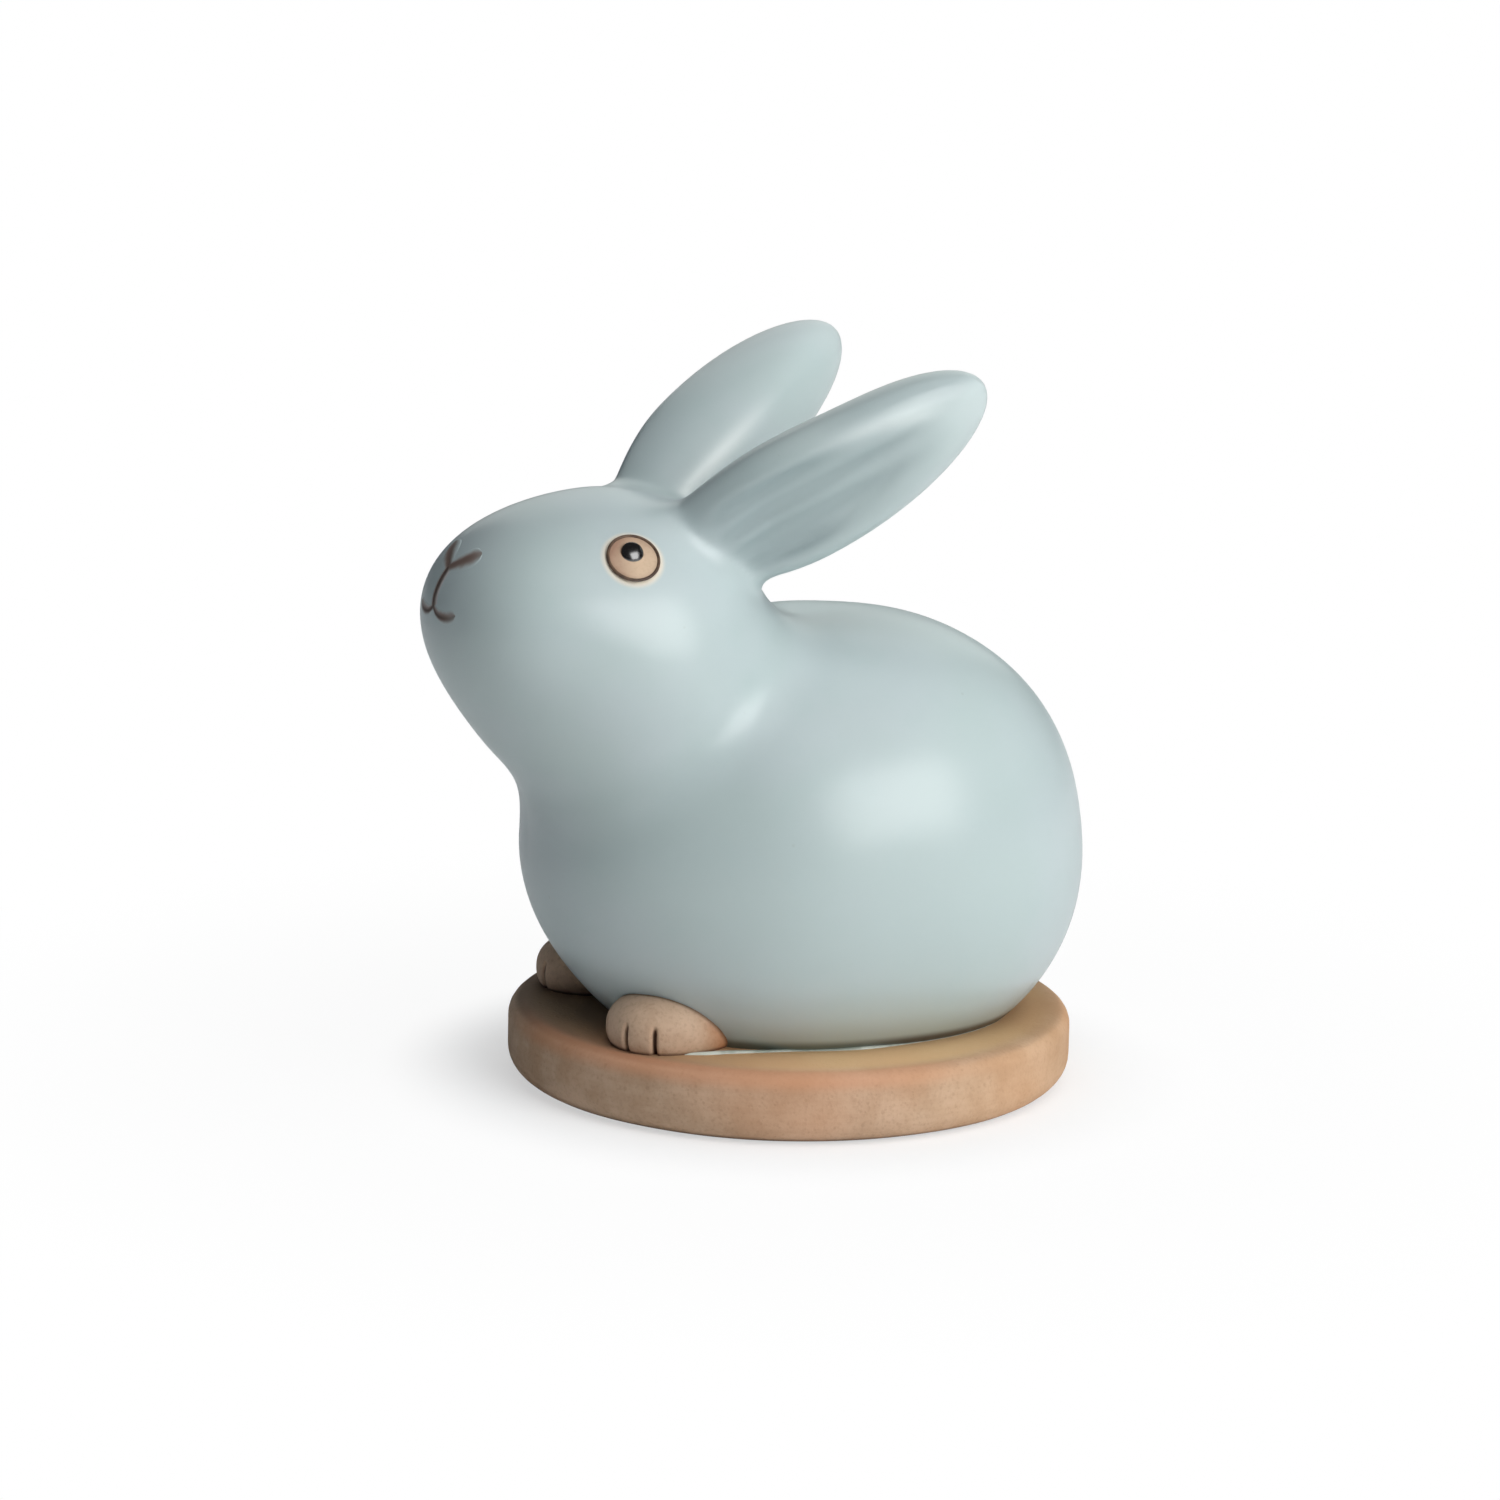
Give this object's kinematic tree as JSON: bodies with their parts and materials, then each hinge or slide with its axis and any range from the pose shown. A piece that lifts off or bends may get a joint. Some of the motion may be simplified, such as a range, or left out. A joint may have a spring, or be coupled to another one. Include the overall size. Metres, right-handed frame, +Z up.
{
  "type": "tea pet",
  "caption": "Small glazed stoneware rabbit, crouching with lifted head and laid-back ears on a round disc of bare clay; a tea tray ornament that is wetted with tea.",
  "frame": {"origin": "centre of the disc's underside", "axes": "+Z up, -Y the way the rabbit's body faces, +X its left"},
  "size_m": [0.06, 0.0727, 0.0776],
  "materials": {
    "celadon_glaze": "satin gloss pale blue-green glaze",
    "pooled_glaze": "glossy pale glaze run",
    "disc_clay": "bare fired clay, fine dark speckle, orange flashing at the rim",
    "paw_clay": "bare pale clay, fine speckle",
    "eye_clay": "bare warm beige clay",
    "iron_slip": "matt dark brown slip",
    "pupil_glaze": "glossy black glaze bead"
  },
  "bodies": {
    "root": {"torso_shell": "celadon_glaze", "head_shell": "celadon_glaze", "left_ear": "celadon_glaze", "right_ear": "celadon_glaze", "tail": "celadon_glaze", "base_disc": "disc_clay", "foot_glaze": "pooled_glaze", "nose_mouth_line": "iron_slip", "left_front_paw": "paw_clay", "left_eye_pad": "eye_clay", "left_eye_line": "iron_slip", "left_pupil": "pupil_glaze", "right_front_paw": "paw_clay", "right_eye_pad": "eye_clay", "right_eye_line": "iron_slip", "right_pupil": "pupil_glaze"}
  },
  "joints": []
}
